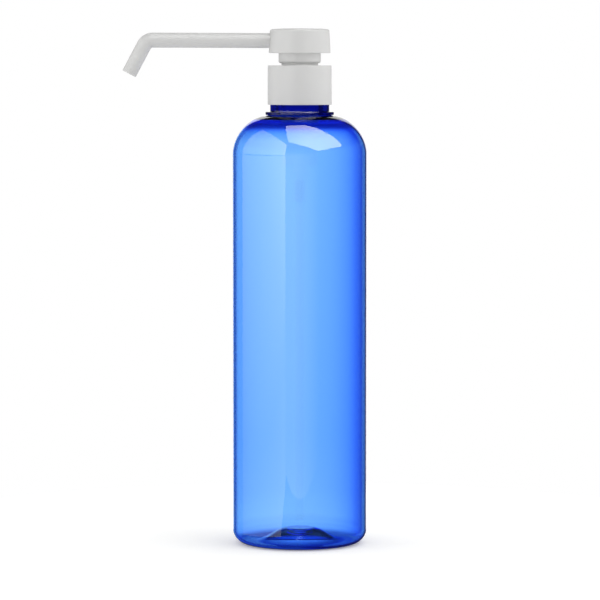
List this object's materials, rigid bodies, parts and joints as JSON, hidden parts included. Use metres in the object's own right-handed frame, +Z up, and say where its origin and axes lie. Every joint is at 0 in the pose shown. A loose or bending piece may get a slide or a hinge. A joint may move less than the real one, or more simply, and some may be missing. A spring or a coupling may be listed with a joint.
{
  "type": "pump bottle",
  "caption": "Tall clear blue bottle with a screw-on lotion pump, its disc head locked down and its long spout bent down at the end.",
  "frame": {"origin": "on the bottle's axis, at the flat disc in the middle of the pushed-up base, 5 mm over the surface the bottle stands on", "axes": "+Z up along the bottle's axis; -X along the spout"},
  "size_m": [0.1128, 0.062, 0.2387],
  "materials": {
    "clear_blue_pet": "clear cobalt-blue stretch-blown PET, polished",
    "off_white_pp": "off-white moulded polypropylene, fine matt",
    "natural_pp": "uncoloured milky polypropylene",
    "dip_tube_pe": "uncoloured extruded polyethylene tube",
    "soft_pe": "soft white polyethylene",
    "spring_steel": "drawn stainless wire",
    "ball_glass": "polished glass ball"
  },
  "bodies": {
    "bottle": {"bottle": "clear_blue_pet"},
    "pump": {"pump_housing": "natural_pp", "neck_gasket": "soft_pe", "lock_ring": "off_white_pp", "spring": "spring_steel", "ball_cage": "natural_pp", "dip_tube": "dip_tube_pe"},
    "collar": {"collar": "off_white_pp"},
    "piston": {"piston": "soft_pe"},
    "head": {"actuator": "off_white_pp", "stem": "natural_pp", "piston_rod": "natural_pp"},
    "ball": {"inlet_ball": "ball_glass"}
  },
  "joints": [
    {"name": "pump_lift", "type": "slide", "parent": "bottle", "child": "pump", "axis": [0, 0, 1], "range_m": [0, 0.00636]},
    {"name": "collar_turn", "type": "hinge", "parent": "pump", "child": "collar", "pos_m": [0, 0, 0.2], "axis": [0, 0, 1], "range_deg": [0, 540]},
    {"name": "pump_stroke", "type": "slide", "parent": "pump", "child": "piston", "axis": [0, 0, 1], "range_m": [0, 0.014], "deforming": ["spring"]},
    {"name": "head_swivel", "type": "hinge", "parent": "piston", "child": "head", "pos_m": [0, 0, 0.2], "axis": [0, 0, 1], "continuous": true},
    {"name": "ball_lift", "type": "slide", "parent": "pump", "child": "ball", "axis": [0, 0, 1], "range_m": [0, 0.001]}
  ],
  "couplings": [
    {"joint": "pump_lift", "follows": "collar_turn", "m_per_rad": 0.00067376}
  ]
}
